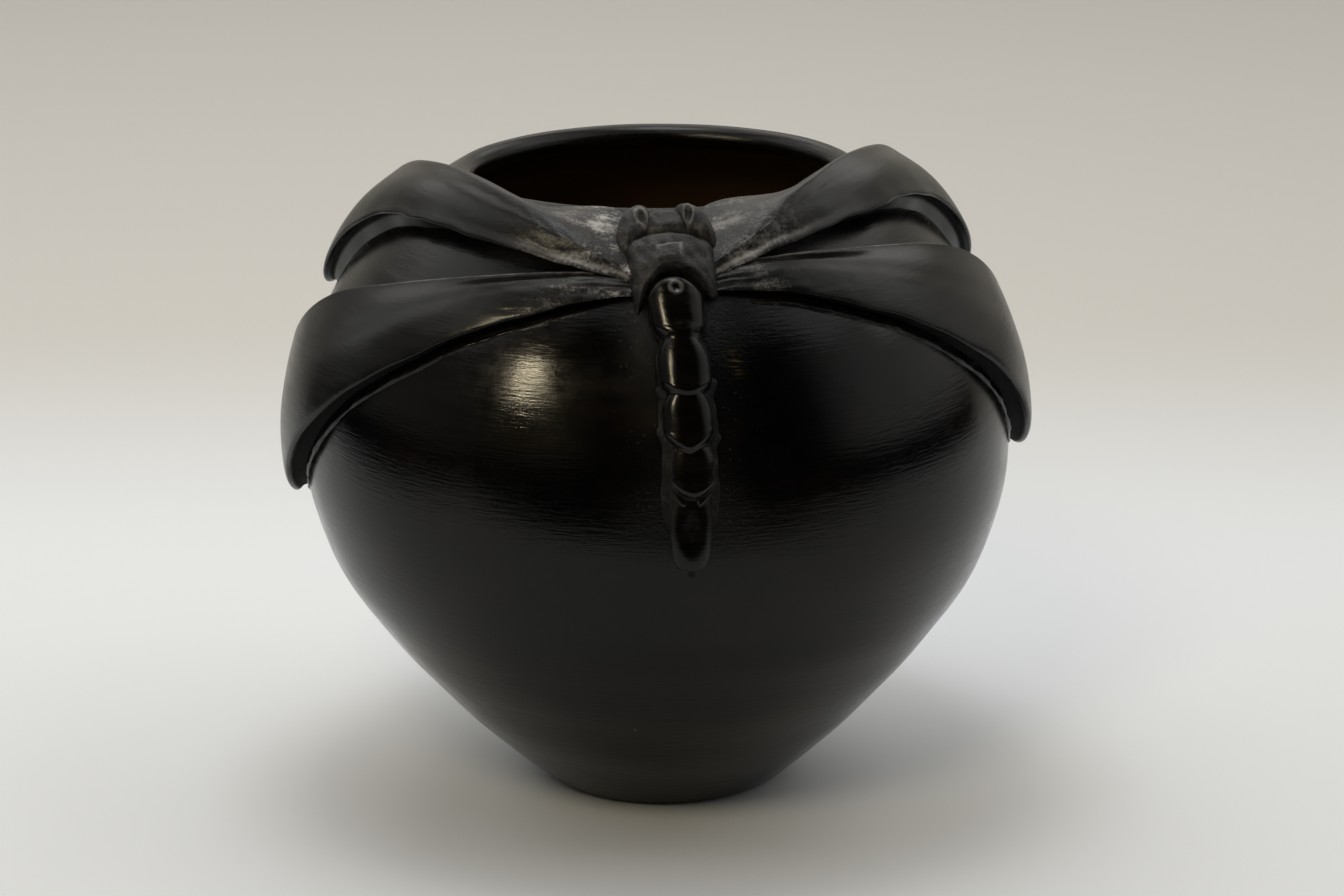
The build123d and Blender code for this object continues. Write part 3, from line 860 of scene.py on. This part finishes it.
def strip_height(side, down):
    """The flat strip under the barrels, with a wavy edge and smears along it."""
    half = 4.6 + 1.7 * ease(18.0, 34.0, down) - 5.6 * ease(49.0, 64.5, down)
    half = half + 0.20 * np.sin(down / 2.3) + 0.12 * np.sin(down / 0.9)
    across = np.abs(side) / half
    smears = 0.14 * np.sin(3.1 * side + 0.35 * np.sin(down / 2.0)) + 0.06 * np.sin(7.0 * side + down / 3.0)
    tip = 1 - 0.6 * ease(57.0, 63.0, down)
    return np.clip(1 - across ** 2, 0, 1) * (1.2 + smears) * ease(8.0, 16.0, down) * tip


def collar_height(side, down, start, end):
    """A low ridge along a straight line on the map."""
    run = np.array(end) - np.array(start)
    share = np.clip(((side - start[0]) * run[0] + (down - start[1]) * run[1]) / (run @ run), 0, 1)
    crest = 1.75 - 1.15 * share
    off = np.hypot(side - start[0] - share * run[0], down - start[1] - share * run[1])
    return crest * bump(off, collar_width)


# %% Make the abdomen
abdomen_reach = 7.0
pressed_at, pressed_radius, pressed_depth = (-0.1, 8.2), 0.95, 0.26


def pressed_ring(side, down):
    """How far a place is from the middle of the ring in the first barrel, as a share of its radius."""
    return np.hypot(side - pressed_at[0], down - pressed_at[1]) / pressed_radius


def abdomen_edge(down):
    """Half the breadth of the sheet that the abdomen is raised from, drawn in at the tail."""
    return abdomen_reach * np.sqrt(np.clip(1 - np.clip((down - 44.0) / 20.2, 0, 1) ** 4, 0.003, 1))


def abdomen_height(side, down):
    """Barrels, collars, tail and strip as one height, with a ring pressed into the first barrel."""
    parts = [segment_height(side, down, *segment) for segment in segments]
    parts += [collar_height(side, down, *collar) for collar in collars]
    parts += [tail_height(side, down), strip_height(side, down)]
    whole = highest(parts, 12)
    whole = whole + 0.2 * unevenness(0.6 * side, 0.6 * down) * ease(0.3, 1.5, whole)
    ring = pressed_ring(side, down)
    return whole + (-pressed_depth * bump(ring, 0.75) + 0.5 * pressed_depth * bump(ring - 1.15, 0.3))


def abdomen_marks(side, down, level):
    """Polished on the barrels, rough with painted shade beside them, and worn on the ring with a painted
    highlight.
    """
    barrels = ease(0.8, 1.6, level)
    # painted shade where the relief is low, beside the barrels and on the strip
    return dict(
        matte=0.06 * (1 - barrels), scuff=0.05 * (1 - barrels), dull=0.75 - 0.53 * barrels,
        pits=0.45 - 0.41 * barrels, soot=0.75 * (1 - ease(0.5, 1.7, level)),
        # wear and a painted highlight on the rim of the pressed ring
        worn=0.45 * bump(pressed_ring(side, down) - 1.15, 0.30) * ease(1.0, 2.0, level))


abdomen = relief(
    "abdomen", start=1.5, end=64.0, rows=600, columns=150,
    reach=abdomen_edge, height=abdomen_height, marks=abdomen_marks)

# %% [markdown]
# ## Finish of the clay
# The pot was smoked black in the fire. Its colour is nearly black all over, so what the eye reads is gloss:
# the polished wall is smooth with level strokes in it, the wings are satin, and the dry places are grey.
# A finish like that takes many shader nodes. A few helpers keep it readable: each adds a node to the tree
# that its first socket belongs to, and hands back the output.

# %% Helpers for shader nodes
def feed(socket, value):
    """Links a socket to another one, or sets it to a number or a colour."""
    if isinstance(value, bpy.types.NodeSocket):
        socket.id_data.links.new(value, socket)
    else:
        socket.default_value = (*value, 1.0) if socket.type == "RGBA" else value


def node(tree, kind, *ordered, **named):
    """Adds a shader node and feeds its inputs, given in order or by name."""
    made = tree.nodes.new(kind)
    for number, value in enumerate(ordered):
        feed(made.inputs[number], value)
    for name, value in named.items():
        feed(made.inputs[name.replace("_", " ")], value)
    return made


def mark(tree, name):
    """The node that reads a mark from the points."""
    made = tree.nodes.new("ShaderNodeAttribute")
    made.attribute_name = name
    return made


def between(kind, first, result, share, low, high):
    """A mix of low and high. Each kind of data has its own sockets on the node."""
    made = share.id_data.nodes.new("ShaderNodeMix")
    made.data_type = kind
    for number, value in ((0, share), (first, low), (first + 1, high)):
        feed(made.inputs[number], value)
    return made.outputs[result]


def blend(share, low, high):
    """A number between low and high."""
    return between("FLOAT", 2, 0, share, low, high)


def tint(share, low, high):
    """A colour between low and high."""
    return between("RGBA", 6, 2, share, low, high)


def calc(operation, first, second):
    """A sum, product or comparison of two values, of which one at least is a socket."""
    socket = first if isinstance(first, bpy.types.NodeSocket) else second
    made = node(socket.id_data, "ShaderNodeMath", first, second)
    made.operation = operation
    return made.outputs[0]


def times(first, second):
    return calc("MULTIPLY", first, second)


def weighted(*parts):
    """The sum of some values, each times its weight."""
    total, *others = [times(value, weight) for value, weight in parts]
    for other in others:
        total = calc("ADD", total, other)
    return total


def spread(value, low, high):
    """Stretches a value so that low becomes 0 and high becomes 1."""
    made = node(value.id_data, "ShaderNodeMapRange", Value=value, From_Min=low, From_Max=high)
    made.interpolation_type = "SMOOTHSTEP"
    return made.outputs[0]


def new_material(name):
    """A material and its shader node."""
    material = bpy.data.materials.new(name)
    material.use_nodes = True
    return material, material.node_tree.nodes["Principled BSDF"]


# %% [markdown]
# All patterns in the clay are noises. Drawn out along the strokes of the stone they make fine lines, hairs,
# rubbed streaks and facets. Left even they make clouds, patches and sand, and drawn out aslant they make
# scratches. Both finishes use the same patterns and marks, so they agree where they meet.

# %% Patterns in the clay
stroke_scale = (70.0, 70.0, 1100.0)
hair_scale = (260.0, 260.0, 5200.0)
rub_scale = (32.0, 32.0, 330.0)
facet_scale = (16.0, 16.0, 240.0)
scratch_scale = (170.0, 170.0, 2000.0)
scratch_slant = (0.0, 0.65, 0.0)
cloud_scale, patch_scale, sand_scale = 34.0, 120.0, 1500.0
speck_scale, grit_scale = 92.0, 900.0


def noise(vector, scale, detail, roughness=0.55):
    """An even noise."""
    return node(vector.id_data, "ShaderNodeTexNoise",
                Vector=vector, Scale=scale, Detail=detail, Roughness=roughness).outputs[0]


def drawn_out(vector, scale, detail, roughness=0.55, slant=(0.0, 0.0, 0.0)):
    """A noise whose scale differs by direction."""
    place = node(vector.id_data, "ShaderNodeMapping", Vector=vector, Rotation=slant, Scale=scale).outputs[0]
    return noise(place, 1.0, detail, roughness)


def scattered(place, scale):
    """Scattered points: the distance to the nearest one, and a number that each has for its own."""
    cells = node(place.id_data, "ShaderNodeTexVoronoi", Vector=place, Scale=scale)
    own = node(place.id_data, "ShaderNodeSeparateColor", Color=cells.outputs["Color"]).outputs[0]
    return cells.outputs["Distance"], own


def clay_patterns(tree):
    """The marks and the patterns that a finish is mixed from, by name."""
    names = ("matte", "scuff", "dull", "pits", "soot", "worn", "ochre", "inside")
    clay = SimpleNamespace(**{name: mark(tree, name).outputs["Fac"] for name in names})
    grain = mark(tree, "grain").outputs["Vector"]
    clay.place = tree.nodes.new("ShaderNodeTexCoord").outputs["Object"]
    clay.strokes = drawn_out(grain, stroke_scale, 3.0)
    clay.hairs = drawn_out(grain, hair_scale, 2.0)
    clay.rubs = drawn_out(grain, rub_scale, 5.0, 0.62)
    clay.facets = drawn_out(grain, facet_scale, 2.0)
    clay.scratches = drawn_out(clay.place, scratch_scale, 4.0, 0.6, scratch_slant)
    clay.clouds = noise(clay.place, cloud_scale, 5.0)
    clay.patches = noise(clay.place, patch_scale, 9.0, 0.70)
    clay.sand = noise(clay.place, sand_scale, 5.0, 0.7)
    clay.broken = times(clay.matte, blend(spread(clay.patches, 0.25, 0.6), 0.55, 1.0))
    return clay


# %% [markdown]
# The colour is laid on in layers: black smoke with brown clouds, then streaks where it is only satin, the
# bare inside, made lighter as painted light, dry grey clay, painted shade in undercuts, creases and where
# pieces meet the wall, chalk, worn edges with a painted highlight, a painted golden glint, specks and grit.

# %% Colour of the clay
satin_grey = (0.012, 0.0115, 0.0115)
# brown of the bare inside, made lighter as painted light, since the lamps barely reach into the mouth
inside_brown_and_painted_light = (0.120, 0.070, 0.036)
dry_dark, dry_light = (0.010, 0.0095, 0.0095), (0.054, 0.0515, 0.0505)
# black of the painted shade in undercuts, creases and where pieces meet the wall
painted_shade_black = (0.0010, 0.0010, 0.0010)
chalk_white = (0.50, 0.48, 0.46)
# grey of worn edges, partly wear and partly a painted highlight
wear_and_highlight_grey = (0.32, 0.31, 0.30)
# gold of the painted glint
glint_gold = (0.30, 0.20, 0.045)
speck_grey = (0.30, 0.29, 0.27)
grit_grey = (0.046, 0.043, 0.037)


def clay_colour(clay, black, warm):
    """Lays the colours over each other, each by its own share."""
    rubbed = weighted((clay.patches, 0.45), (clay.sand, 0.25), (clay.rubs, 0.30))
    flecks = spread(weighted((clay.sand, 0.5), (clay.rubs, 0.5)), 0.55, 0.64)
    flecks = calc("MAXIMUM", spread(rubbed, 0.49, 0.63), flecks)
    browned = blend(spread(clay.rubs, 0.38, 0.62), 0.25, 1.0)
    browned = times(spread(clay.clouds, 0.42, 0.72), browned)
    distance, own = scattered(clay.place, speck_scale)
    specks = times(calc("LESS_THAN", distance, 0.019), calc("GREATER_THAN", own, 0.60))
    distance, own = scattered(clay.place, grit_scale)
    grit = times(times(spread(distance, 0.30, 0.10), clay.pits), spread(own, 0.45, 1.0))
    layers = [
        (browned, warm),
        (times(clay.dull, spread(clay.rubs, 0.42, 0.80)), satin_grey),
        # bare inside, lightened as painted light
        (clay.inside, inside_brown_and_painted_light),
        (clay.broken, tint(spread(clay.sand, 0.36, 0.62), dry_dark, dry_light)),
        # painted shade
        (clay.soot, painted_shade_black),
        (times(clay.scuff, flecks), chalk_white),
        # worn edges: wear and a painted highlight
        (times(clay.worn, blend(spread(rubbed, 0.40, 0.62), 0.15, 1.0)), wear_and_highlight_grey),
        # painted golden glint
        (times(clay.ochre, spread(clay.scratches, 0.50, 0.85)), glint_gold),
        (times(specks, 0.5), speck_grey),
        (times(grit, calc("SUBTRACT", 1.0, clay.soot)), grit_grey),
    ]
    colour = black
    for share, layer in layers:
        colour = tint(share, colour, layer)
    return colour


# %% [markdown]
# Gloss is set by the roughness, and by a bump that is far finer than the mesh. The polished wall is the
# smoothest. The sand in the clay stands out where it is pitted.

# %% Make the finishes
specular_level = 0.22
# the painted shade is also rougher
dry_rough, painted_shade_rough = 0.66, 0.85
bump_depth = 0.0002


def clay_roughness(clay):
    """How rough the clay is: least where it is polished, and most where shade is painted."""
    polish = weighted((clay.strokes, 0.5), (spread(clay.patches, 0.30, 0.70), 0.5))
    rough = blend(clay.dull, blend(polish, 0.05, 0.27), blend(clay.rubs, 0.13, 0.36))
    rough = calc("ADD", rough, times(calc("SUBTRACT", clay.hairs, 0.5), 0.10))
    return blend(clay.soot, blend(clay.broken, rough, dry_rough), painted_shade_rough)


def clay_finish(name, black, warm):
    """Smoke-blackened clay between two colours, finished as the marks on its points say."""
    material, shader = new_material(name)
    clay = clay_patterns(material.node_tree)
    feed(shader.inputs["Base Color"], clay_colour(clay, black, warm))
    feed(shader.inputs["Roughness"], clay_roughness(clay))
    shader.inputs["Specular IOR Level"].default_value = specular_level
    surface = weighted(
        (clay.strokes, 0.055), (clay.hairs, 0.02), (clay.scratches, 0.24), (clay.patches, 0.16),
        (clay.facets, 0.15), (clay.sand, blend(clay.pits, 0.025, 2.0)))
    bumps = node(material.node_tree, "ShaderNodeBump", Height=surface, Strength=1.0, Distance=bump_depth)
    feed(shader.inputs["Normal"], bumps.outputs[0])
    print(name, "nodes:", len(material.node_tree.nodes))
    return material


burnished = clay_finish("burnished_clay", (0.0012, 0.0011, 0.0011), (0.0060, 0.0041, 0.0028))
satin = clay_finish("satin_clay", (0.0046, 0.0045, 0.0046), (0.0078, 0.0070, 0.0064))

# %% [markdown]
# ## Tie the pieces to the frame
# The fired pot is one rigid body, so every piece rides on it. Each piece also says which solids it stands
# for, and those are then hidden.

# %% Tie the pieces to the frame
coils = [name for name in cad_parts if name.startswith("wall_coil")]
body_rings = [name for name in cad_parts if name.startswith("abdomen")]
satin_pieces = [
    (left_forewing, "forewing_left"), (right_forewing, "forewing_right"),
    (left_hindwing, "hindwing_left"), (right_hindwing, "hindwing_right"),
    (thorax, "thorax"), (head, "head"), (left_eye, "eye_left"), (right_eye, "eye_right"),
]
dressed = [(jar, burnished, "burnished_clay", ["base_slab", "rim_coil", *sorted(coils)])]
dressed += [(piece, satin, "satin_clay", [solid]) for piece, solid in satin_pieces]
dressed += [(abdomen, burnished, "satin_clay", [*sorted(body_rings), "tail"])]
for piece, finish, slot, solids in dressed:
    piece.data.materials.append(finish)
    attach(piece, "root")
    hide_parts(*solids)
print("pieces:", len(dressed))

# %% [markdown]
# ## Table and light
# The jar stands on a white table that runs back into a greyer backdrop, with no edge between. Low black cards
# around the table end its reflection where the real table ends. The camera doesn't see them, as a
# photographer would keep them out of view.

# %% Table
table_reach = 4.0
backdrop_from, backdrop_to = 0.13, 0.385
table_white, backdrop_grey = (0.815, 0.835, 0.86), (0.655, 0.638, 0.60)


def flat_sheet(name, corners):
    """One flat face that belongs to the stage and not to the jar."""
    mesh = bpy.data.meshes.new(name)
    mesh.from_pydata(corners, [], [(0, 1, 2, 3)])
    sheet = place_in_scene(name, mesh)
    return sheet


table_corners = [(x * table_reach, y * table_reach, 0.0) for x, y in ((-1, -1), (1, -1), (1, 1), (-1, 1))]
table = flat_sheet("table", table_corners)
paper, paper_shader = new_material("white_paper")
paper_place = paper.node_tree.nodes.new("ShaderNodeTexCoord").outputs["Object"]
depth = node(paper.node_tree, "ShaderNodeSeparateXYZ", Vector=paper_place).outputs[1]
fade = spread(depth, backdrop_from, backdrop_to)
feed(paper_shader.inputs["Base Color"], tint(fade, table_white, backdrop_grey))
paper_shader.inputs["Roughness"].default_value = 0.7
paper_shader.inputs["Specular IOR Level"].default_value = 0.2
table.data.materials.append(paper)
print("table turns grey from", backdrop_from, "to", backdrop_to, "m behind the jar")

# %% Black cards
card_height = 0.10
card_places = [
    ("front_card", (-0.9, -0.27), (0.02, -0.268)),
    ("front_right_card", (0.02, -0.268), (0.9, 0.02)),
    ("left_card", (-0.42, -0.27), (-0.42, 0.25)),
    ("right_card", (0.48, -0.22), (0.48, 0.25)),
]
felt, felt_shader = new_material("black_felt")
felt_shader.inputs["Base Color"].default_value = (0.004, 0.004, 0.004, 1.0)
felt_shader.inputs["Specular IOR Level"].default_value = 0.0
for name, start, end in card_places:
    card = flat_sheet(name, [(*start, 0.0), (*end, 0.0), (*end, card_height), (*start, card_height)])
    card.data.materials.append(felt)
    card.visible_camera = False
    card.visible_shadow = False
    card.visible_diffuse = False
print("cards:", len(card_places))

# %% [markdown]
# Black gloss shows little but its surroundings, so most of the light comes from broad soft panels: three
# overhead, one at each side and a square lamp over the mouth. A small bright lamp makes the highlight on the
# belly. It is left out of the diffuse light, so that it doesn't tint the table, and a warm fill that is left
# out of the reflections does that more gently.

# %% Lights
belly_middle = (0.0, 0.0, 0.1)
ceiling_size, ceiling_back, ceiling_height = (0.54, 1.7), 0.50, 0.80
ceiling_levels = [(-0.82, 1.02), (-0.12, 1.16), (0.58, 0.98)]
ceiling_white, lamp_yellow, fill_yellow = (0.99, 0.985, 0.975), (1.0, 0.86, 0.58), (1.0, 0.87, 0.62)


def panel(name, place, size, radiance, colour, aim=belly_middle):
    """A soft rectangular light of a given brightness, aimed at the belly or at another point."""
    lamp = bpy.data.lights.new(name, "AREA")
    lamp.shape = "RECTANGLE"
    lamp.size, lamp.size_y = size
    lamp.energy = radiance * math.pi * size[0] * size[1]
    lamp.color = colour
    light = place_in_scene(name, lamp)
    light.location = place
    light.rotation_euler = (Vector(aim) - Vector(place)).to_track_quat("-Z", "Y").to_euler()
    light.visible_camera = False
    return light


def around_jar_at(turn, climb, reach):
    """A place seen from the belly at a turn to the right of the front and a climb, both in degrees."""
    turn, climb = math.radians(turn), math.radians(climb)
    level = reach * math.cos(climb)
    return (level * math.sin(turn), -level * math.cos(turn), belly_middle[2] + reach * math.sin(climb))


for number, (across, level) in enumerate(ceiling_levels):
    place, below = (across, ceiling_back, ceiling_height), (across, ceiling_back, 0.0)
    panel(f"ceiling_panel_{number + 1}", place, ceiling_size, level, ceiling_white, below)
panel("left_panel", around_jar_at(-110, 20, 0.9), (0.26, 0.28), 0.95, (0.98, 0.98, 1.0))
panel("right_panel", around_jar_at(99, 35, 0.9), (0.26, 0.26), 0.95, (1.0, 0.99, 0.96))
panel("overhead_lamp", (-0.04, 0.04, 0.78), (0.24, 0.24), 5.4, (0.97, 0.99, 1.0), (-0.04, 0.0, 0.0))
small_lamp = panel("small_lamp", around_jar_at(-45, 29, 0.75), (0.10, 0.042), 135.0, lamp_yellow)
small_lamp.visible_diffuse = False
warm_fill = panel("warm_fill", around_jar_at(-18, 40, 0.95), (0.26, 0.26), 8.6, fill_yellow)
warm_fill.visible_glossy = False

# %% [markdown]
# The room around them is dim. Its colour depends on the direction, so that the gloss finds a pale wall behind
# the jar and soft glows at the sides, while the camera sees one plain grey.

# %% Room
room_dark, room_seen = (0.003, 0.003, 0.003), (0.53, 0.51, 0.47)
glows = [
    (180, 12, 0.05, 0.70, (0.46, 0.43, 0.37)),
    (92, 18, 0.78, 0.99, (0.72, 0.71, 0.69)),
    (-95, 15, 0.55, 1.0, (0.20, 0.20, 0.19)),
    (-40, 15, 0.92, 0.998, (0.25, 0.20, 0.12)),
]
world = bpy.data.worlds.new("dim_room")
world.use_nodes = True
room = world.node_tree
toward = room.nodes.new("ShaderNodeTexCoord").outputs["Generated"]


def facing(turn, climb, low, high):
    """1 for rays that run close to a direction from the jar, fading to 0."""
    aim = Vector(around_jar_at(turn, climb, 1.0)) - Vector(belly_middle)
    dot = node(room, "ShaderNodeVectorMath", toward, aim)
    dot.operation = "DOT_PRODUCT"
    return spread(dot.outputs["Value"], low, high)


room_colour = room_dark
for *direction, glow in glows:
    room_colour = tint(facing(*direction), room_colour, glow)
seen = room.nodes.new("ShaderNodeLightPath").outputs["Is Camera Ray"]
feed(room.nodes["Background"].inputs["Color"], tint(seen, room_colour, room_seen))
bpy.context.scene.world = world
print("glows in the room:", len(glows))

# %% [markdown]
# ## Camera
# The photograph was taken with a long lens from a little above the mouth. The numbers below put the jar's
# outline where it is in the photograph.

# %% Camera
camera_data = bpy.data.cameras.new("camera")
camera_data.lens = 105.0
camera_data.sensor_width = 36.0
camera = place_in_scene("camera", camera_data)
camera.location = (0.0, -0.798, 0.309)
camera.rotation_euler = (math.radians(73.4), 0.0, math.radians(-0.2485))
bpy.context.scene.camera = camera
bpy.context.scene.view_settings.view_transform = "Standard"
print("lens", camera_data.lens, "mm")
